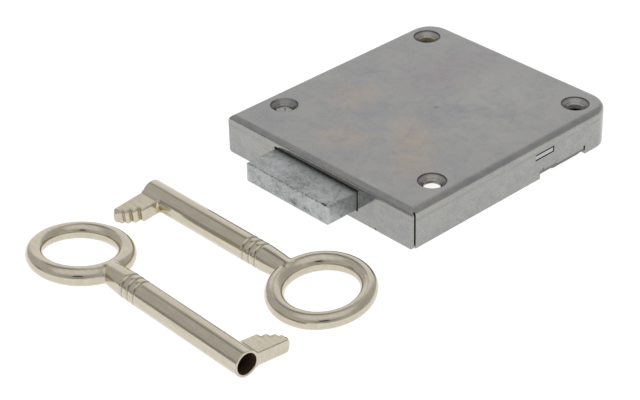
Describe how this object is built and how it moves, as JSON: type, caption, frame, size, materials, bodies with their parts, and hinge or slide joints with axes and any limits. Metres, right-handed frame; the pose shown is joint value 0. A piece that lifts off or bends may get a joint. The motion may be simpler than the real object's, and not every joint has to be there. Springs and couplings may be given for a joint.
{
  "type": "surface-mounted furniture lock",
  "caption": "Flat sheet steel rim lock for furniture with a sliding zinc bolt, a lever pack worked by a pipe key, four countersunk screw holes, and loose keys with stepped bits.",
  "frame": {"origin": "key axis on the mounting face, in the middle of the four screw holes", "axes": "+Z from the wood to the top of the case, -Y the way the bolt comes out, X across the case"},
  "size_m": [0.0901, 0.1667, 0.0123],
  "materials": {
    "cover_steel": "satin, zinc plated sheet, faintly stained",
    "plate_steel": "dull rolled sheet",
    "zinc_casting": "tumbled zinc casting with fine pits",
    "pin_steel": "turned",
    "lever_brass": "blanked sheet",
    "spring_steel": "bright strip",
    "key_nickel": "nickel plated, soft polish"
  },
  "bodies": {
    "root": {"cover": "cover_steel", "base_plate": "plate_steel", "drill_pin": "pin_steel", "pivot_post": "pin_steel", "pivot_washer": "plate_steel", "stop_post": "pin_steel", "spring_post": "pin_steel", "guide_stud": "pin_steel", "key_1": "key_nickel", "key_2": "key_nickel"},
    "bolt": {"bolt": "zinc_casting", "bolt_stump": "pin_steel"},
    "lever_1": {"lever_1": "lever_brass", "lever_spring_1": "spring_steel"},
    "lever_2": {"lever_2": "lever_brass", "lever_spring_2": "spring_steel"},
    "lever_3": {"lever_3": "lever_brass", "lever_spring_3": "spring_steel"},
    "lever_4": {"lever_4": "lever_brass", "lever_spring_4": "spring_steel"}
  },
  "joints": [
    {"name": "bolt_slide", "type": "slide", "parent": "root", "child": "bolt", "axis": [0, 1, 0], "range_m": [0, 0.011]},
    {"name": "lever_1_pivot", "type": "hinge", "parent": "root", "child": "lever_1", "pos_m": [-0.0175, 0.02, 0.005], "axis": [0, 0, -1], "range_deg": [-4.5, 2.5], "stiffness_Nm_per_rad": 0.02, "springref_deg": -17.19, "deforming": ["lever_spring_1"]},
    {"name": "lever_2_pivot", "type": "hinge", "parent": "root", "child": "lever_2", "pos_m": [-0.0175, 0.02, 0.005], "axis": [0, 0, -1], "range_deg": [-4.5, 2.5], "stiffness_Nm_per_rad": 0.02, "springref_deg": -17.19, "deforming": ["lever_spring_2"]},
    {"name": "lever_3_pivot", "type": "hinge", "parent": "root", "child": "lever_3", "pos_m": [-0.0175, 0.02, 0.005], "axis": [0, 0, -1], "range_deg": [-4.5, 2.5], "stiffness_Nm_per_rad": 0.02, "springref_deg": -17.19, "deforming": ["lever_spring_3"]},
    {"name": "lever_4_pivot", "type": "hinge", "parent": "root", "child": "lever_4", "pos_m": [-0.0175, 0.02, 0.005], "axis": [0, 0, -1], "range_deg": [-4.5, 2.5], "stiffness_Nm_per_rad": 0.02, "springref_deg": -17.19, "deforming": ["lever_spring_4"]}
  ]
}
